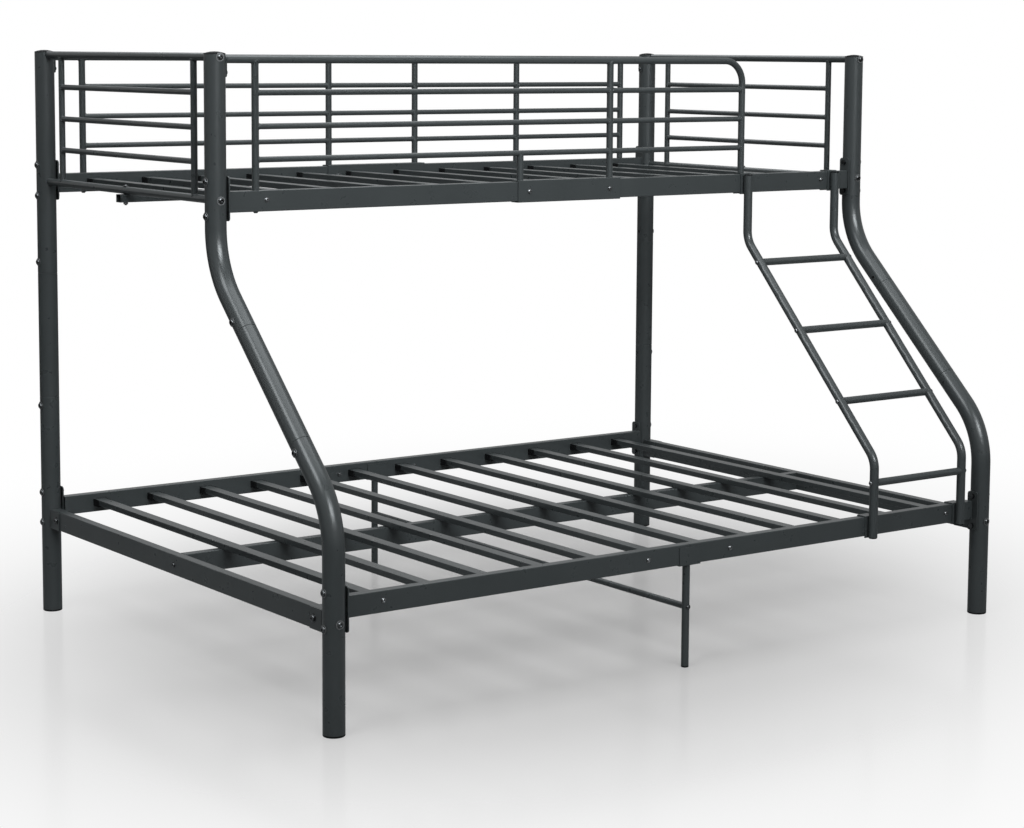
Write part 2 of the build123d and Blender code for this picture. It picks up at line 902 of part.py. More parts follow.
# Upper middle beam, under the bottom rails of the end panels
upper_beam_end = post_x + upper_beam_overhang
upper_beam_middle_z = upper_slat_z - slat_level_above_rail / 2
upper_beam_tube = box_tube_x(
    -upper_beam_end,
    upper_beam_end,
    upper_middle_y,
    upper_beam_middle_z,
    upper_beam_width,
    slat_level_above_rail,
    beam_wall,
)
with BuildPart() as upper_beam:
    add(upper_beam_tube)
    drill(
        [
            facing((side * post_x, upper_middle_y, upper_beam_middle_z), (0, 0, 1))
            for side in sides.values()
        ],
        small_hole,
        slat_level_above_rail + overrun,
    )
save(upper_beam.part, "upper_centre_beam")

# Lower middle beam, between the cross rails, with a threaded block in each end
lower_beam_end = post_x - rail_depth / 2 - fit
lower_beam_height = lower_slat_z - end_rail_z
lower_beam_middle_z = end_rail_z + lower_beam_height / 2
lower_beam_tube = box_tube_x(
    -lower_beam_end,
    lower_beam_end,
    0,
    lower_beam_middle_z,
    rail_depth,
    lower_beam_height,
    beam_wall,
)
with BuildPart() as lower_beam:
    add(lower_beam_tube)
    for side in sides.values():
        with BuildSketch(facing((side * lower_beam_end, 0, lower_beam_middle_z), (-side, 0, 0))):
            Rectangle(rail_depth - beam_wall, rail_depth - beam_wall)
        extrude(amount=insert_length)
    drill(
        [facing((side * lower_beam_end, 0, end_rail_middle_z), (1, 0, 0)) for side in sides.values()],
        small_bolt_diameter + thread_fit,
        2 * insert_length + overrun,
    )
save(lower_beam.part, "lower_centre_beam")

# Slats and the shoes that carry their ends
slat_step = slat_span / (slat_count - 1)
slat_places = [index * slat_step - slat_span / 2 for index in range(slat_count)]


def slat_row(front_face, rear_face, level):
    start_y = front_face + shoe_sheet + fit
    length = rear_face - front_face - 2 * (shoe_sheet + fit)
    one_slat = box_tube_y(
        0,
        length,
        0,
        0,
        slat_width,
        slat_height,
        slat_wall,
        slat_corner,
    )
    places = [(x, start_y, level + slat_height / 2) for x in slat_places]
    return at_places(one_slat, places)


# A shoe: a back against the rail, a floor under the slat end and two cheeks beside it
def slat_shoe(y, inward, level):
    outer_width = slat_width + 2 * (fit + shoe_sheet)
    outer_height = slat_height + fit + shoe_sheet
    middle_z = level - fit - shoe_sheet + outer_height / 2
    back = Plane(origin=(0, y, middle_z), x_dir=(1, 0, 0), z_dir=(0, inward, 0))
    with BuildPart() as shoe:
        with BuildSketch(back):
            Rectangle(outer_width, outer_height)
        extrude(amount=shoe_depth)
        with Locations((0, y + inward * (shoe_sheet + shoe_depth), level - fit)):
            Box(
                slat_width + 2 * fit,
                2 * shoe_depth,
                2 * outer_height,
                align=(Align.CENTER, Align.CENTER, Align.MIN),
                mode=Mode.SUBTRACT,
            )
        drill(
            [facing((0, y, level + slat_height / 2), (0, 1, 0))],
            small_bolt_diameter + thread_fit,
            2 * shoe_sheet + overrun,
        )
    return shoe.part


upper_faces = (front_high_y + rail_depth / 2, rear_y - rail_depth / 2)
lower_faces = (-lower_rail_y + rail_depth / 2, lower_rail_y - rail_depth / 2)
save(slat_row(upper_faces[0], upper_faces[1], upper_slat_z), "upper_slats")
save(slat_row(lower_faces[0], lower_faces[1], lower_slat_z), "lower_slats")

shoe_rows = [
    at_places(slat_shoe(y, inward, level), [(x, 0, 0) for x in slat_places])
    for y, inward, level in (
        (upper_faces[0], 1, upper_slat_z),
        (upper_faces[1], -1, upper_slat_z),
        (lower_faces[0], 1, lower_slat_z),
        (lower_faces[1], -1, lower_slat_z),
    )
]
with BuildPart() as shoes:
    for row in shoe_rows:
        add(row)
    with Locations(
        (upper_splice_x, front_high_y, upper_rail_middle_z),
        (upper_splice_x, rear_y, upper_rail_middle_z),
    ):
        Box(
            splice_length + 2 * fit,
            outer_sleeve_depth + 2 * fit,
            outer_sleeve_height,
            mode=Mode.SUBTRACT,
        )
save(shoes.part, "slat_end_shoes")

# Middle supports: a round leg under a saddle that holds each lower side rail
leg_top_z = lower_rail_z - fit - saddle_sheet
for depth_name, side_y in (("front", -1), ("rear", 1)):
    y = side_y * lower_rail_y
    saddle_width = rail_depth + 2 * (fit + saddle_sheet)
    saddle_plane = Plane(origin=(lower_splice_x, y, leg_top_z), z_dir=(0, 0, 1))
    leg_foot = (lower_splice_x, y, leg_glide_height)
    leg_rod = straight_rod(leg_foot, (lower_splice_x, y, leg_top_z), leg_diameter)
    leg_bore = straight_rod(
        leg_foot, (lower_splice_x, y, leg_top_z), leg_diameter - 2 * leg_wall
    )
    with BuildPart() as leg:
        add(leg_rod)
        with BuildSketch(saddle_plane):
            Rectangle(saddle_length, saddle_width)
        extrude(amount=saddle_height)
        with BuildSketch(saddle_plane.offset(saddle_sheet)):
            Rectangle(saddle_length + overrun, rail_depth + 2 * fit)
        extrude(amount=saddle_height, mode=Mode.SUBTRACT)
        add(leg_bore, mode=Mode.SUBTRACT)
        drill(
            [facing((lower_splice_x, y, stretcher_z), (0, 1, 0))],
            small_hole,
            leg_diameter + overrun,
        )
    save(leg.part, f"support_leg_{depth_name}")
    leg_plug = tube_plug(
        leg_diameter, leg_diameter, leg_wall, leg_glide_height, ladder_plug_depth
    )
    save(at_places(leg_plug, [facing(leg_foot, (0, 0, -1))]), f"support_glide_{depth_name}")

# Stretcher between the two support legs, coped at both ends
stretcher_insert_y = lower_rail_y - leg_diameter / 2 - insert_length
stretcher_members = [
    (
        (lower_splice_x, -lower_rail_y, stretcher_z),
        (lower_splice_x, lower_rail_y, stretcher_z),
        stretcher_diameter,
    )
]
stretcher_bores = [
    (
        (lower_splice_x, -lower_rail_y, stretcher_z),
        (lower_splice_x, lower_rail_y, stretcher_z),
        small_bolt_diameter + thread_fit,
    ),
    (
        (lower_splice_x, -stretcher_insert_y, stretcher_z),
        (lower_splice_x, stretcher_insert_y, stretcher_z),
        stretcher_diameter - 2 * small_tube_wall,
    ),
]
stretcher_tube = welded_frame(stretcher_members, stretcher_bores)
with BuildPart() as stretcher:
    add(stretcher_tube)
    with Locations(
        (lower_splice_x, -lower_rail_y, stretcher_z),
        (lower_splice_x, lower_rail_y, stretcher_z),
    ):
        Cylinder(leg_diameter / 2 + fit, leg_diameter * 2, mode=Mode.SUBTRACT)
save(stretcher.part, "support_stretcher")

# Ladder: two bent uprights, each welded to a hook over the upper and the lower rail
ladder_off_face = fit + hook_sheet + ladder_tube_diameter / 2 - ladder_weld_overlap
ladder_top_y = front_high_y - rail_depth / 2 - ladder_off_face
ladder_low_y = -lower_rail_y - rail_depth / 2 - ladder_off_face
ladder_top_z = upper_rail_top - ladder_plug_height
ladder_foot_z = lower_rail_z - ladder_foot_below_rail


def ladder_route(x):
    return [
        (x, ladder_top_y, ladder_top_z),
        (x, ladder_top_y, ladder_upper_bend_z),
        (x, ladder_low_y, ladder_lower_bend_z),
        (x, ladder_low_y, ladder_foot_z),
    ]


# Centre line of the ladder at a height, on its slope or on its straight foot
def ladder_y(z):
    drop = (ladder_upper_bend_z - z) / (ladder_upper_bend_z - ladder_lower_bend_z)
    return ladder_top_y + min(drop, 1) * (ladder_low_y - ladder_top_y)


rung_points = [(ladder_y(z), z) for z in rung_heights]


# A hook of sheet over a rail: front cheek, top and rear cheek
def rail_hook(x, rail_y, rail_z):
    hook_top = rail_z + rail_height + fit + hook_sheet
    hook_bottom = rail_z - hook_below_rail
    hook_height = hook_top - hook_bottom
    end = Plane(
        origin=(x - hook_width / 2, rail_y, hook_bottom + hook_height / 2),
        x_dir=(0, 1, 0),
        z_dir=(1, 0, 0),
    )
    with BuildPart() as hook:
        with BuildSketch(end):
            Rectangle(rail_depth + 2 * (fit + hook_sheet), hook_height)
            with Locations((0, -hook_sheet)):
                Rectangle(rail_depth + 2 * fit, hook_height, mode=Mode.SUBTRACT)
        extrude(amount=hook_width)
        upper_edges = hook.edges().filter_by(Axis.X).group_by(Axis.Z)[-1]
        fillet(upper_edges, radius=hook_sheet * dome_share)
    return hook.part


for side_name, x in (("left", ladder_left_x), ("right", ladder_right_x)):
    tube = bent_tube(ladder_route(x), ladder_bend_radius, ladder_tube_diameter, small_tube_wall)
    hooks = [
        rail_hook(x, front_high_y, upper_rail_z),
        rail_hook(x, -lower_rail_y, lower_rail_z),
    ]
    with BuildPart() as upright:
        add(tube)
        for hook in hooks:
            add(hook)
        drill(
            [facing((x, y, z), (1, 0, 0)) for y, z in rung_points],
            small_hole,
            ladder_tube_diameter + overrun,
        )
        if side_name == "left":
            drill(
                [facing((guard_end_x, front_high_y, upper_rail_top), (0, 0, 1))],
                small_hole,
                4 * hook_sheet,
            )
    save(upright.part, f"ladder_upright_{side_name}")

# Rungs, coped to the uprights and threaded at both ends
upright_rods = [
    bent_rod(ladder_route(x), ladder_bend_radius, ladder_tube_diameter + 2 * fit)
    for x in (ladder_left_x, ladder_right_x)
]
for index, (y, z) in enumerate(rung_points):
    insert_x = ladder_tube_diameter / 2 + insert_length
    rung_tube = welded_frame(
        [((ladder_left_x, y, z), (ladder_right_x, y, z), rung_diameter)],
        [
            (
                (ladder_left_x, y, z),
                (ladder_right_x, y, z),
                small_bolt_diameter + thread_fit,
            ),
            (
                (ladder_left_x + insert_x, y, z),
                (ladder_right_x - insert_x, y, z),
                rung_diameter - 2 * small_tube_wall,
            ),
        ],
    )
    with BuildPart() as rung:
        add(rung_tube)
        for rod in upright_rods:
            add(rod, mode=Mode.SUBTRACT)
    save(rung.part, f"ladder_rung_{index + 1}")

# Plugs in the open ends of the ladder uprights
ladder_plug = tube_plug(
    ladder_tube_diameter,
    ladder_tube_diameter - 2 * (ladder_weld_overlap + fit),
    small_tube_wall,
    ladder_plug_height,
    ladder_plug_depth,
)
ladder_ends = [
    facing((x, y, z), (0, 0, way))
    for x in (ladder_left_x, ladder_right_x)
    for y, z, way in (
        (ladder_top_y, ladder_top_z, 1),
        (ladder_low_y, ladder_foot_z, -1),
    )
]
save(at_places(ladder_plug, ladder_ends), "ladder_end_plugs")

# Large bolt of a given length
def large_bolt(length):
    return button_bolt(
        large_bolt_diameter,
        (large_flange_diameter, large_flange_height),
        (large_head_diameter, large_head_height),
        large_socket,
        length,
    )


# Bolts along X through the posts: those of the rail plates end in nuts, and those of the
# post joints end flush with the far side of the post
plate_bolt = large_bolt(post_diameter + plate_thickness + large_nut_height + 4 * fit)
joint_bolt = large_bolt(post_diameter)
plate_bolt_places = []
joint_bolt_places = []
large_nut_places = []
for side in sides.values():
    outside = side * (post_x + post_radius + fit)
    rail_nut = side * (plate_inner_x - fit)
    for point in joint_bolt_points(side * post_x):
        joint_bolt_places.append(facing((outside, point.Y, point.Z), (side, 0, 0)))
    for y, heights in (
        (front_high_y, upper_plate_bolts),
        (rear_y, upper_plate_bolts),
        (front_low_y, lower_plate_bolts),
        (rear_y, lower_plate_bolts),
    ):
        for z in heights:
            plate_bolt_places.append(facing((outside, y, z), (side, 0, 0)))
            large_nut_places.append(facing((rail_nut, y, z), (-side, 0, 0)))
plate_bolts = at_places(plate_bolt, plate_bolt_places)
joint_bolts = at_places(joint_bolt, joint_bolt_places)
with BuildPart() as post_bolts:
    add(plate_bolts)
    add(joint_bolts)
save(post_bolts.part, "post_bolts")

# Long bolts along Y through the posts into the end panels and the cross rail brackets
long_bolt = large_bolt(long_bolt_length)
long_places = []
for side in sides.values():
    x = side * post_x
    reach = post_radius + fit
    for z in (panel_bottom_z, panel_top_z):
        long_places.append(facing((x, front_high_y - reach, z), (0, -1, 0)))
        long_places.append(facing((x, rear_y + reach, z), (0, 1, 0)))
    long_places.append(facing((x, front_low_y - reach, end_rail_middle_z), (0, -1, 0)))
    long_places.append(facing((x, rear_y + reach, end_rail_middle_z), (0, 1, 0)))
save(at_places(long_bolt, long_places), "end_frame_bolts")


# Small bolt of a given length
def small_bolt(length):
    return button_bolt(
        small_bolt_diameter,
        (small_flange_diameter, small_flange_height),
        (small_head_diameter, small_head_height),
        small_socket,
        length,
    )


# Bolts through the side rails: at their middle joints, and into the end slats
upper_joint_bolt = small_bolt(outer_sleeve_depth + bolt_reach)
lower_joint_bolt = small_bolt(rail_depth + bolt_reach)
upper_joint_places = []
lower_joint_places = []
slat_bolt_places = []
joint_nut_places = []
for side in sides.values():
    x = upper_splice_x + side * splice_bolt_spacing / 2
    for y, way in ((front_high_y, -1), (rear_y, 1)):
        face = way * (outer_sleeve_depth / 2 + fit)
        upper_joint_places.append(facing((x, y + face, upper_rail_middle_z), (0, way, 0)))
        joint_nut_places.append(facing((x, y - face, upper_rail_middle_z), (0, -way, 0)))
        slat_z = upper_slat_z + slat_height / 2
        face = way * (rail_depth / 2 + fit)
        slat_bolt_places.append(facing((side * slat_span / 2, y + face, slat_z), (0, way, 0)))
    x = lower_splice_x + side * splice_bolt_spacing / 2
    for way in (-1, 1):
        y = way * lower_rail_y
        face = way * (rail_depth / 2 + fit)
        lower_joint_places.append(facing((x, y + face, lower_rail_middle_z), (0, way, 0)))
        joint_nut_places.append(facing((x, y - face, lower_rail_middle_z), (0, -way, 0)))
        slat_z = lower_slat_z + slat_height / 2
        slat_bolt_places.append(facing((side * slat_span / 2, y + face, slat_z), (0, way, 0)))
upper_joint_bolts = at_places(upper_joint_bolt, upper_joint_places)
lower_joint_bolts = at_places(lower_joint_bolt, lower_joint_places + slat_bolt_places)
with BuildPart() as side_rail_bolts:
    add(upper_joint_bolts)
    add(lower_joint_bolts)
save(side_rail_bolts.part, "side_rail_bolts")

# Guard bolts: screws in the tabs, and long bolts up through the rail into the feet
tab_screw = small_bolt(plate_thickness + head_reach)
tab_screw_places = [
    facing((side * (plate_inner_x - fit), y, tab_screw_z), (-side, 0, 0))
    for side, y in ((-1, front_high_y), (-1, rear_y), (1, rear_y))
]
foot_bolt = small_bolt(rail_height + head_reach)
foot_bolt_places = [
    facing((x, y, upper_rail_z - fit), (0, 0, -1)) for x, y in guard_bolt_feet
]
tab_screws = at_places(tab_screw, tab_screw_places)
foot_bolts = at_places(foot_bolt, foot_bolt_places)
with BuildPart() as guard_bolts:
    add(tab_screws)
    add(foot_bolts)
save(guard_bolts.part, "guard_bolts")

# Bolts of the ladder rungs, heads on the outer sides of the uprights
rung_bolt = small_bolt(ladder_tube_diameter + head_reach)
rung_reach = ladder_tube_diameter / 2 + fit
rung_bolt_places = [
    facing((x + way * rung_reach, y, z), (way, 0, 0))
    for x, way in ((ladder_left_x, -1), (ladder_right_x, 1))
    for y, z in rung_points
]
save(at_places(rung_bolt, rung_bolt_places), "ladder_rung_bolts")

# Bolts of the cross members: brackets, middle beams and the stretcher
bracket_bolt = large_bolt(rail_depth + 2 * bracket_sheet + bolt_reach)
beam_bolt = small_bolt(rail_depth + head_reach)
upper_beam_bolt = small_bolt(panel_rail_diameter + slat_level_above_rail + bolt_reach)
stretcher_bolt = small_bolt(leg_diameter + head_reach)
bracket_bolt_places = []
beam_bolt_places = []
upper_beam_bolt_places = []
cross_nut_places = []
for side in sides.values():
    cheek = side * (post_x + rail_depth / 2 + bracket_sheet + 2 * fit)
    inner_cheek = side * (post_x - rail_depth / 2 - bracket_sheet - 2 * fit)
    face = side * (post_x + rail_depth / 2 + fit)
    for y in (-bracket_bolt_y, bracket_bolt_y):
        bracket_bolt_places.append(facing((cheek, y, end_rail_middle_z), (side, 0, 0)))
        large_nut_places.append(facing((inner_cheek, y, end_rail_middle_z), (-side, 0, 0)))
    beam_bolt_places.append(facing((face, 0, end_rail_middle_z), (side, 0, 0)))
    tube_top = panel_bottom_z + panel_rail_diameter / 2 + fit
    upper_beam_bolt_places.append(facing((side * post_x, upper_middle_y, tube_top), (0, 0, 1)))
    under_beam = (side * post_x, upper_middle_y, upper_rail_z - fit)
    cross_nut_places.append(facing(under_beam, (0, 0, -1)))
stretcher_bolt_places = [
    facing((lower_splice_x, way * (lower_rail_y + leg_diameter / 2 + fit), stretcher_z), (0, way, 0))
    for way in (-1, 1)
]
cross_bolt_groups = [
    at_places(bracket_bolt, bracket_bolt_places),
    at_places(beam_bolt, beam_bolt_places),
    at_places(upper_beam_bolt, upper_beam_bolt_places),
    at_places(stretcher_bolt, stretcher_bolt_places),
]
with BuildPart() as cross_member_bolts:
    for bolts in cross_bolt_groups:
        add(bolts)
save(cross_member_bolts.part, "cross_member_bolts")

# Nuts: large ones on the rail plates and brackets, small ones on the rail joints and beams
large_nut = hex_nut(large_nut_width, large_nut_height, large_bolt_diameter)
small_nut = hex_nut(small_nut_width, small_nut_height, small_bolt_diameter)
save(at_places(large_nut, large_nut_places), "large_nuts")
save(at_places(small_nut, joint_nut_places + cross_nut_places), "small_nuts")
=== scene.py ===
"""The looks of a metal bunk bed frame: satin powder coat, black plastic ends, black and zinc bolts.

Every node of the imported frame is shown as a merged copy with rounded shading, and the weld
beads of the guards and end panels are surfaces worked out on grids. Lengths are in metres.
"""

import json
import math

import bmesh
import bpy
import numpy as np
from mathutils import Matrix, Vector


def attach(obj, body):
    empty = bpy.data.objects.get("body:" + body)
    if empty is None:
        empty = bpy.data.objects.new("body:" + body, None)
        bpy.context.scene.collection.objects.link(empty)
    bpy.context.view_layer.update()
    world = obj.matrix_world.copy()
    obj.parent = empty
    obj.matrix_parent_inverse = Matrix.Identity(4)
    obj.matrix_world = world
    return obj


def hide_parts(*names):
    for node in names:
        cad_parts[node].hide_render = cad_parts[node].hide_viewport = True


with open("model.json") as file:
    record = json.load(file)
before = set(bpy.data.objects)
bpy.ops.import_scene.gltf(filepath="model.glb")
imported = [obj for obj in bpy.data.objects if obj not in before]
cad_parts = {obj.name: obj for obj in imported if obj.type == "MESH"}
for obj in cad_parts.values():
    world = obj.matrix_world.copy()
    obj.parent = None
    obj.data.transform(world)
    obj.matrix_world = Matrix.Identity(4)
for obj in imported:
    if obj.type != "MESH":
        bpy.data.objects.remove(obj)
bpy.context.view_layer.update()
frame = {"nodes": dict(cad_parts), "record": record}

# Camera, fitted to the photograph: its angles are in radians, its focal length and upward shift
# in pixels of the image, and its sensor's width in millimetres
camera_place = (-3.70113, -5.07384, 1.50693)
camera_yaw = 0.62773
camera_pitch = 0.11084
camera_roll = 0.00634
focal_pixels = 2370.89
shift_pixels = -100.0
image_width = 1024
sensor_width = 36.0
nearest_seen = 0.05
furthest_seen = 200.0

# Floor: half its side, its lit grey and the glow it adds to that under the painted shade, its soft
# reflection (share, roughness, and how much wider than the painted shade it spreads), and the grey
# it casts on the frame
floor_reach = 40.0
floor_grey = (0.32, 0.30, 0.292)
floor_lift = 0.285
floor_sheen = 0.23
floor_roughness = 0.17
sheen_spread = 1.5
bounce_grey = (0.25, 0.25, 0.25)

# Shade painted into the floor's colour under the bed, a painted shadow: middle, radii and turn in
# radians of its ellipse, and how its depth falls off
shade_middle = (0.04, 0.055)
shade_radii = (1.556, 1.167)
shade_turn = 0.588
shade_power = 4.2

# Light: how much of the white around and of the floor's white gloss sees, the even light of the
# world, and the lamps as (name, place, target, size, watts, spread in degrees)
white_in_gloss = 0.40
floor_white_in_gloss = 0.03
even_light = 0.06
lamp_colour = (0.92, 0.975, 1.0)
lamps = (
    ("overhead_softbox", (0.2, -0.4, 5.0), (0.2, 0.0, 0.6), (4.6, 2.6), 92.0, 150.0),
    ("left_top_softbox", (-3.85, -1.4, 5.0), (-0.2, 0.0, 0.8), (2.3, 1.8), 88.0, 150.0),
    ("front_softbox", (-0.6, -4.4, 3.0), (0.0, -0.2, 1.25), (3.6, 1.2), 38.0, 60.0),
    ("rear_top_softbox", (1.0, 3.6, 4.7), (0.1, 0.5, 0.8), (4.6, 2.4), 36.0, 110.0),
)

# Range of values in which nearly all of a noise lies
noise_reach = (0.3, 0.7)

# Shading of the merged copies: what is merged, what counts as a crease, how wide a face is that
# counts as a flat and how much more it weighs, and the least area that is divided by
merge_distance = 2e-6
crease_angle = math.radians(32)
flat_width = 0.006
flat_weight = 1e6
least_area = 1e-18

# Large bolts whose flanges are painted lighter as a reflection: how many each node holds, and the
# radius of the dome
flanged_bolts = {"post_bolts": 24, "end_frame_bolts": 12}
dome_radius = 0.0076

# Radii of the welded tubes
bar_radius = 0.007
panel_upright_radius = 0.008
panel_rail_radius = 0.0095
guard_upright_radius = 0.00875
guard_tube_radius = 0.009

# Welded joints of the two end panels: uprights as (y, way of the bars), rails as (height, way of
# the uprights)
panel_x = 1.02
panel_bar_heights = (1.404, 1.322, 1.241)
panel_uprights = ((-0.098, 1), (0.618, -1))
panel_rails = ((1.1547, 1), (1.487, -1))

# Welded joints of the two guards: uprights as (x, ways of the bars, radius). The front guard's
# last upright is the bent end of its tube.
guard_bar_heights = (1.404, 1.325, 1.247)
guard_top_height = 1.4815
front_guard_y = -0.2
front_uprights = (
    (-0.913, (1,), guard_upright_radius),
    (0.147, (-1, 1), guard_upright_radius),
    (0.603, (-1,), guard_tube_radius),
)
rear_guard_y = 0.72
rear_uprights = (
    (-0.913, (1,), guard_upright_radius),
    (-0.514, (-1, 1), guard_upright_radius),
    (-0.147, (-1, 1), guard_upright_radius),
    (0.147, (-1, 1), guard_upright_radius),
    (0.514, (-1, 1), guard_upright_radius),
    (0.913, (-1,), guard_upright_radius),
)

# Weld beads: their radius, how much it ripples and how often, and the steps round the tube and
# round the bead
bead_radius = 0.0017
bead_ripple = 0.12
ripples_round = 16
bead_grid = (64, 8)


def link(thing):
    """Put a finished object into the scene's collection, and give it back."""
    bpy.context.scene.collection.objects.link(thing)
    return thing


def empty_tree(owner):
    """The node tree of a material or a world, without the nodes that it starts with."""
    owner.use_nodes = True
    owner.node_tree.nodes.clear()
    return owner.node_tree


def noise(tree, place, scale, detail):
    """A noise value over the object, with cells about one metre over the scale."""
    node = tree.nodes.new("ShaderNodeTexNoise")
    node.inputs["Scale"].default_value = scale
    node.inputs["Detail"].default_value = detail
    tree.links.new(place, node.inputs["Vector"])
    return node.outputs["Fac"]


def spread(tree, value, low, high):
    """A noise value stretched from its usual reach to the range from low to high."""
    node = tree.nodes.new("ShaderNodeMapRange")
    node.inputs["From Min"].default_value, node.inputs["From Max"].default_value = noise_reach
    node.inputs["To Min"].default_value = low
    node.inputs["To Max"].default_value = high
    tree.links.new(value, node.inputs["Value"])
    return node.outputs["Result"]


def blend_colours(tree, value, first, second):
    """A colour between two, by the value."""
    node = tree.nodes.new("ShaderNodeMix")
    node.data_type = "RGBA"
    node.inputs["A"].default_value = (*first, 1.0)
    node.inputs["B"].default_value = (*second, 1.0)
    tree.links.new(value, node.inputs["Factor"])
    return node.outputs["Result"]


def relief(tree, height, strength, distance):
    """A bump of the given height in metres."""
    node = tree.nodes.new("ShaderNodeBump")
    node.inputs["Strength"].default_value = strength
    node.inputs["Distance"].default_value = distance
    tree.links.new(height, node.inputs["Height"])
    return node.outputs["Normal"]


def mix_shaders(tree, share, first, second):
    """The first shader, with the given share of the second."""
    node = tree.nodes.new("ShaderNodeMixShader")
    tree.links.new(share, node.inputs["Fac"])
    tree.links.new(first, node.inputs[1])
    tree.links.new(second, node.inputs[2])
    return node.outputs[0]


def arithmetic(tree, operation, first, second):
    """One step of arithmetic between two values, each a socket or a plain number."""
    node = tree.nodes.new("ShaderNodeMath")
    node.operation = operation
    for entry, value in zip(node.inputs, (first, second)):
        if isinstance(value, float):
            entry.default_value = value
        else:
            tree.links.new(value, entry)
    return node.outputs["Value"]


def finish(
    name,
    tints,
    tint_noise,
    roughness,
    roughness_noise,
    bump,
    bump_noise,
    metallic=0.0,
    specular=0.5,
):
    """A material whose tint, roughness and relief each follow a noise of their own.

    A noise is given as its scale and detail, tints and roughness as the two ends of their range,
    and the bump as its strength and its height in metres. Metallic and specular are even.
    """
    material = bpy.data.materials.new(name)
    tree = empty_tree(material)
    output = tree.nodes.new("ShaderNodeOutputMaterial")
    shader = tree.nodes.new("ShaderNodeBsdfPrincipled")
    tree.links.new(shader.outputs["BSDF"], output.inputs["Surface"])
    place = tree.nodes.new("ShaderNodeTexCoord").outputs["Object"]
    tint = spread(tree, noise(tree, place, *tint_noise), 0.0, 1.0)
    tree.links.new(blend_colours(tree, tint, *tints), shader.inputs["Base Color"])
    gloss = spread(tree, noise(tree, place, *roughness_noise), *roughness)
    tree.links.new(gloss, shader.inputs["Roughness"])
    grain = relief(tree, noise(tree, place, *bump_noise), *bump)
    tree.links.new(grain, shader.inputs["Normal"])
    shader.inputs["Metallic"].default_value = metallic
    shader.inputs["Specular IOR Level"].default_value = specular
    return material


def triangle_corners(mesh):
    """The vertex of every corner of a mesh of triangles, and the corners' places by triangle."""
    places = np.empty(3 * len(mesh.vertices))
    mesh.vertices.foreach_get("co", places)
    corners = np.empty(len(mesh.loops), dtype=np.int64)
    mesh.loops.foreach_get("vertex_index", corners)
    return corners, places.reshape(-1, 3)[corners].reshape(-1, 3, 3)


def corner_normals(mesh):
    """The normal of the real surface at every corner of a mesh of triangles.

    It is the mean of the faces that meet there without a crease. A face weighs the sine of its
    corner over the product of the two edges there, which is exact on tubes and balls however
    uneven the triangles are. A wide face weighs far more, so that flats beside a bend stay flat.
    """
    corners, points = triangle_corners(mesh)
    ahead = np.roll(points, -1, axis=1) - points
    back = np.roll(points, 1, axis=1) - points
    across = np.cross(ahead, back)
    doubled_area = np.maximum(np.linalg.norm(across, axis=2), least_area)
    normals = (across / doubled_area[..., None]).reshape(-1, 3)
    edges = np.linalg.norm(ahead, axis=2)
    weights = doubled_area / (edges * np.linalg.norm(back, axis=2)) ** 2
    is_wide = doubled_area[:, 0] / edges.max(axis=1) > flat_width
    weights *= np.where(is_wide, flat_weight, 1.0)[:, None]
    weighted = normals * weights.reshape(-1, 1)

    # Every corner is paired with all corners at its vertex, itself too, in one block of pairs
    order = np.argsort(corners, kind="stable")
    crowd = np.bincount(corners)
    first_of = np.cumsum(crowd) - crowd
    partners = crowd[corners]
    block = np.cumsum(partners) - partners
    one = np.repeat(np.arange(len(corners)), partners)
    other = order[np.arange(len(one)) - block[one] + first_of[corners[one]]]
    is_smooth = (normals[one] * normals[other]).sum(axis=1) > math.cos(crease_angle)
    total = np.add.reduceat(weighted[other] * is_smooth[:, None], block, axis=0)
    return total / np.linalg.norm(total, axis=1)[:, None]


def mark_flanges(mesh, bolts):
    """Give the second finish to the flanges of a node's bolts.

    All bolts of a node have the same number of triangles, one bolt after the other. A bolt's
    axis runs through the middle of its box, along the box's longest side. A triangle whose
    middle is further from that axis than the dome's edge belongs to the flange.
    """
    points = triangle_corners(mesh)[1].reshape(bolts, -1, 3, 3)
    low, high = points.min(axis=(1, 2)), points.max(axis=(1, 2))
    off_axis = points.mean(axis=2) - ((low + high) / 2)[:, None]
    size = high - low
    off_axis *= (size < size.max(axis=1, keepdims=True))[:, None]
    is_flange = np.linalg.norm(off_axis, axis=2) > dome_radius
    mesh.polygons.foreach_set("material_index", is_flange.ravel().astype(np.int32))


def shown_copy(node):
    """Show a copy of a node with its triangles merged and the real surface's normals on it."""
    source = frame["nodes"][node].data.copy()
    if node in flanged_bolts:
        mark_flanges(source, flanged_bolts[node])
    surface = bmesh.new()
    surface.from_mesh(source)
    bpy.data.meshes.remove(source)
    bmesh.ops.remove_doubles(surface, verts=surface.verts, dist=merge_distance)
    mesh = bpy.data.meshes.new(f"{node}_shown")
    surface.to_mesh(mesh)
    surface.free()
    mesh.shade_smooth()
    mesh.set_sharp_from_angle(angle=crease_angle)
    mesh.normals_split_custom_set(corner_normals(mesh).tolist())
    mesh.materials.append(finishes[slot_of_node[node]])
    # The flanges get the lighter finish that paints in their reflection
    if node in flanged_bolts:
        mesh.materials.append(flange_reflection_painted)
    piece = link(bpy.data.objects.new(f"{node}_shown", mesh))
    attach(piece, "root")
    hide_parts(node)


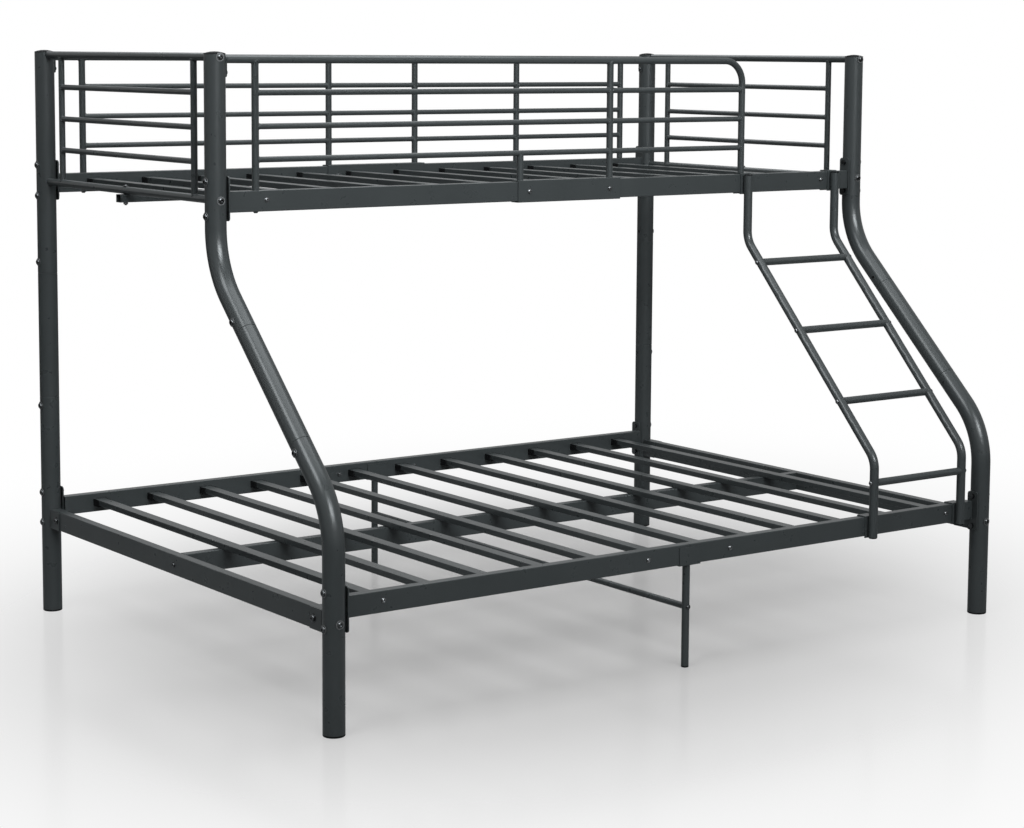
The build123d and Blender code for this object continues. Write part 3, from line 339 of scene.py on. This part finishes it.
def weld_beads(name, joints):
    """Weld beads of a tube frame, one where each thinner tube meets the side of a thicker one.

    A joint is the point on the thicker tube's axis, the direction and radius of the thinner
    tube, and the direction and radius of the thicker one. With t round the thinner tube, the
    seam is at thin·cos t to the side, thin·sin t along the thicker tube, and the root of
    thick² - (thin·cos t)² along the thinner one. A circle with s round it follows the seam,
    between the normals of the two tubes. Its radius swells and shrinks as the sine of a multiple
    of t, as the ripples of a weld do.
    """
    middle, along, thin, up, thick = (np.array(values, dtype=float) for values in zip(*joints))
    middle, along, up = (values[:, None, None] for values in (middle, along, up))
    thin, thick = (values[:, None, None, None] for values in (thin, thick))
    round_steps, bead_steps = bead_grid
    t = np.linspace(0, 2 * np.pi, round_steps, endpoint=False)[None, :, None, None]
    s = np.linspace(0, 2 * np.pi, bead_steps, endpoint=False)[None, None, :, None]
    side = np.cross(up, along)
    reach = np.sqrt(thick**2 - (thin * np.cos(t)) ** 2)
    seam = middle + along * reach + side * thin * np.cos(t) + up * thin * np.sin(t)
    thick_normal = (along * reach + side * thin * np.cos(t)) / thick
    thin_normal = side * np.cos(t) + up * np.sin(t)
    across = thin_normal - thick_normal * (thin_normal * thick_normal).sum(axis=-1, keepdims=True)
    across /= np.linalg.norm(across, axis=-1, keepdims=True)
    radius = bead_radius * (1 + bead_ripple * np.sin(ripples_round * t))
    points = seam + radius * (thick_normal * np.cos(s) + across * np.sin(s))

    index = np.arange(len(joints) * round_steps * bead_steps).reshape(-1, round_steps, bead_steps)
    ahead = np.roll(index, -1, axis=1)
    corners = (index, np.roll(index, -1, axis=2), np.roll(ahead, -1, axis=2), ahead)
    faces = np.stack(corners, axis=-1).reshape(-1, 4)
    mesh = bpy.data.meshes.new(name)
    mesh.from_pydata(points.reshape(-1, 3).tolist(), [], faces.tolist())
    mesh.shade_smooth()
    mesh.materials.append(finishes["frame_paint"])
    piece = link(bpy.data.objects.new(name, mesh))
    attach(piece, "root")


def end_panel_joints(x):
    """The joints of an end panel: bars between the uprights, and uprights between the rails."""
    joints = []
    for y, inward in panel_uprights:
        for z in panel_bar_heights:
            joints.append(((x, y, z), (0, inward, 0), bar_radius, (0, 0, 1), panel_upright_radius))
        for z, way in panel_rails:
            upright, rail = (0, 0, way), (0, 1, 0)
            joints.append(((x, y, z), upright, panel_upright_radius, rail, panel_rail_radius))
    return joints


def guard_joints(y, uprights):
    """The joints of a guard: bars on the sides of the uprights, thin uprights under the tube."""
    joints = []
    for x, ways, radius in uprights:
        for z in guard_bar_heights:
            for way in ways:
                joints.append(((x, y, z), (way, 0, 0), bar_radius, (0, 0, 1), radius))
    for x, _, radius in uprights:
        if radius < guard_tube_radius:
            top = (x, y, guard_top_height)
            joints.append((top, (0, 0, -1), radius, (1, 0, 0), guard_tube_radius))
    return joints


def painted_shade_under_bed(tree, spread_share=1.0):
    """Depth of the shade painted into the floor under the bed, from one at its middle to zero far
    away.

    It is e to the minus r to a power, where r is the distance from the middle over the radii of
    an ellipse that is turned about the upright axis. A larger share spreads it wider.
    """
    place = tree.nodes.new("ShaderNodeTexCoord").outputs["Object"]
    turned = tree.nodes.new("ShaderNodeMapping")
    turned.vector_type = "TEXTURE"
    turned.inputs["Location"].default_value = (*shade_middle, 0.0)
    turned.inputs["Rotation"].default_value = (0.0, 0.0, shade_turn)
    turned.inputs["Scale"].default_value = (*(radius * spread_share for radius in shade_radii), 1.0)
    tree.links.new(place, turned.inputs["Vector"])
    length = tree.nodes.new("ShaderNodeVectorMath")
    length.operation = "LENGTH"
    tree.links.new(turned.outputs["Vector"], length.inputs[0])
    power = arithmetic(tree, "POWER", length.outputs["Value"], shade_power)
    return arithmetic(tree, "POWER", math.exp(-1.0), power)


def background_seen(tree, gloss_share):
    """How much of the white a ray sees straight or through glass, and how much in gloss."""
    path = tree.nodes.new("ShaderNodeLightPath")
    camera_ray, glass_ray = path.outputs["Is Camera Ray"], path.outputs["Is Transmission Ray"]
    straight = arithmetic(tree, "MAXIMUM", camera_ray, glass_ray)
    in_gloss = arithmetic(tree, "MULTIPLY", path.outputs["Is Glossy Ray"], gloss_share)
    return straight, in_gloss


def studio_floor():
    """A floor that is white to the eye far away, and grey under the bed, a painted shadow, where it
    also takes the frame's own shadows.

    What shows is the painted shade's depth times the lit grey and its glow, plus the rest as plain
    white, and a little of both is a soft reflection. The frame is lit by a plain grey floor
    instead, which gloss sees as partly white where there is no painted shade.
    """
    mesh = bpy.data.meshes.new("studio_floor")
    ways = ((-1, -1), (1, -1), (1, 1), (-1, 1))
    corners = [(x * floor_reach, y * floor_reach, 0) for x, y in ways]
    mesh.from_pydata(corners, [], [(0, 1, 2, 3)])
    floor = link(bpy.data.objects.new("studio_floor", mesh))
    material = bpy.data.materials.new("studio_floor_white")
    tree = empty_tree(material)
    # Painted shadow: this mask turns the floor from white to a glowing grey under the bed
    shade = painted_shade_under_bed(tree)
    straight, in_gloss = background_seen(tree, floor_white_in_gloss)

    grey = tree.nodes.new("ShaderNodeBsdfDiffuse")
    grey.inputs["Color"].default_value = (*floor_grey, 1.0)
    lift = tree.nodes.new("ShaderNodeEmission")
    lift.inputs["Strength"].default_value = floor_lift
    near = tree.nodes.new("ShaderNodeAddShader")
    tree.links.new(grey.outputs[0], near.inputs[0])
    tree.links.new(lift.outputs[0], near.inputs[1])
    far = tree.nodes.new("ShaderNodeEmission")
    far.inputs["Strength"].default_value = 1.0
    # The white far floor and the grey near floor, blended by the painted shade
    ground = mix_shaders(tree, shade, far.outputs[0], near.outputs[0])
    gloss = tree.nodes.new("ShaderNodeBsdfAnisotropic")
    gloss.inputs["Roughness"].default_value = floor_roughness
    sheen = arithmetic(tree, "MULTIPLY", painted_shade_under_bed(tree, sheen_spread), floor_sheen)
    polished = mix_shaders(tree, sheen, ground, gloss.outputs[0])

    plain = tree.nodes.new("ShaderNodeBsdfDiffuse")
    plain.inputs["Color"].default_value = (*bounce_grey, 1.0)
    white_share = arithmetic(tree, "MULTIPLY", in_gloss, arithmetic(tree, "SUBTRACT", 1.0, shade))
    bounce = mix_shaders(tree, white_share, plain.outputs[0], far.outputs[0])
    output = tree.nodes.new("ShaderNodeOutputMaterial")
    tree.links.new(mix_shaders(tree, straight, bounce, polished), output.inputs["Surface"])
    mesh.materials.append(material)


def studio_world():
    """White to the camera and through glass, partly white to gloss, and a faint even light."""
    world = bpy.data.worlds.new("studio_white")
    bpy.context.scene.world = world
    tree = empty_tree(world)
    straight, in_gloss = background_seen(tree, white_in_gloss)
    white = tree.nodes.new("ShaderNodeBackground")
    white.inputs["Strength"].default_value = 1.0
    white.inputs["Color"].default_value = (1.0, 1.0, 1.0, 1.0)
    lit = tree.nodes.new("ShaderNodeBackground")
    lit.inputs["Color"].default_value = (*lamp_colour, 1.0)
    lit.inputs["Strength"].default_value = even_light
    white_share = arithmetic(tree, "MAXIMUM", straight, in_gloss)
    output = tree.nodes.new("ShaderNodeOutputWorld")
    around = mix_shaders(tree, white_share, lit.outputs[0], white.outputs[0])
    tree.links.new(around, output.inputs["Surface"])


def studio_lamps():
    """Soft lamps: one overhead, one high on the left, one for the upper front, one behind."""
    for name, place, target, size, power, spread_angle in lamps:
        lamp = bpy.data.lights.new(name, "AREA")
        lamp.shape = "RECTANGLE"
        lamp.size, lamp.size_y = size
        lamp.energy = power
        lamp.spread = math.radians(spread_angle)
        lamp.color = lamp_colour
        holder = link(bpy.data.objects.new(name, lamp))
        aim = Vector(target) - Vector(place)
        turn = aim.to_track_quat("-Z", "Y").to_matrix().to_4x4()
        holder.matrix_world = Matrix.Translation(place) @ turn


def photo_camera():
    """The fitted camera: yaw turns from +Y towards +X, pitch looks down, roll turns the frame."""
    heading = Vector((math.sin(camera_yaw), math.cos(camera_yaw), 0.0))
    ahead = heading * math.cos(camera_pitch) - Vector((0.0, 0.0, math.sin(camera_pitch)))
    level = Vector((math.cos(camera_yaw), -math.sin(camera_yaw), 0.0))
    upright = level.cross(ahead)
    right = level * math.cos(camera_roll) + upright * math.sin(camera_roll)
    up = upright * math.cos(camera_roll) - level * math.sin(camera_roll)
    turn = Matrix((right, up, -ahead)).transposed().to_4x4()
    data = bpy.data.cameras.new("photo_camera")
    data.sensor_width = sensor_width
    data.lens = focal_pixels * sensor_width / image_width
    data.shift_y = shift_pixels / image_width
    data.clip_start = nearest_seen
    data.clip_end = furthest_seen
    camera = link(bpy.data.objects.new("photo_camera", data))
    camera.matrix_world = Matrix.Translation(camera_place) @ turn
    bpy.context.scene.camera = camera


finishes = {
    # Dark slate powder coat: a fine orange peel, soft gloss and faint cloudiness
    "frame_paint": finish(
        "slate_powder_coat",
        tints=((0.0350, 0.0390, 0.0396), (0.0394, 0.0437, 0.0444)),
        tint_noise=(6.0, 3.0),
        roughness=(0.27, 0.31),
        roughness_noise=(35.0, 4.0),
        bump=(0.02, 0.00012),
        bump_noise=(700.0, 1.0),
        specular=0.42,
    ),
    # Black moulded plastic: a deep matt grain, a little smoother in patches
    "black_plastic": finish(
        "black_moulded_plastic",
        tints=((0.0055, 0.0057, 0.0062), (0.0085, 0.0087, 0.0092)),
        tint_noise=(60.0, 3.0),
        roughness=(0.62, 0.78),
        roughness_noise=(140.0, 3.0),
        bump=(0.3, 0.0002),
        bump_noise=(2600.0, 2.0),
        specular=0.08,
    ),
    # Bright zinc on pressed steel heads, a little uneven in tint and in gloss
    "zinc_steel": finish(
        "bright_zinc_plate",
        tints=((0.19, 0.195, 0.20), (0.28, 0.28, 0.285)),
        tint_noise=(240.0, 3.0),
        roughness=(0.20, 0.34),
        roughness_noise=(700.0, 3.0),
        bump=(0.15, 0.0001),
        bump_noise=(2200.0, 2.0),
        metallic=1.0,
    ),
    # Black plated steel of the large bolts and nuts, glossier than the coat around it
    "black_steel": finish(
        "blackened_steel",
        tints=((0.100, 0.103, 0.106), (0.125, 0.128, 0.131)),
        tint_noise=(180.0, 3.0),
        roughness=(0.10, 0.17),
        roughness_noise=(600.0, 3.0),
        bump=(0.12, 0.0001),
        bump_noise=(2000.0, 2.0),
        metallic=1.0,
    ),
}
# The flanges of the large bolts, in a lighter grey and rougher steel than the domes: the light
# ring that their rims reflect, painted into their colour
flange_reflection_painted = finish(
    "steel_flange_with_painted_reflection",
    tints=((0.150, 0.154, 0.156), (0.225, 0.229, 0.231)),
    tint_noise=(300.0, 3.0),
    roughness=(0.52, 0.66),
    roughness_noise=(900.0, 3.0),
    bump=(0.15, 0.0001),
    bump_noise=(1500.0, 2.0),
    metallic=1.0,
)
slot_of_node = {part["node"]: part["material_slot"] for part in frame["record"]["subparts"]}

for node_name in sorted(frame["nodes"]):
    shown_copy(node_name)
weld_beads("left_end_panel_welds", end_panel_joints(-panel_x))
weld_beads("right_end_panel_welds", end_panel_joints(panel_x))
weld_beads("front_guard_welds", guard_joints(front_guard_y, front_uprights))
weld_beads("rear_guard_welds", guard_joints(rear_guard_y, rear_uprights))

bpy.context.scene.view_settings.view_transform = "Standard"
studio_floor()
studio_world()
studio_lamps()
photo_camera()
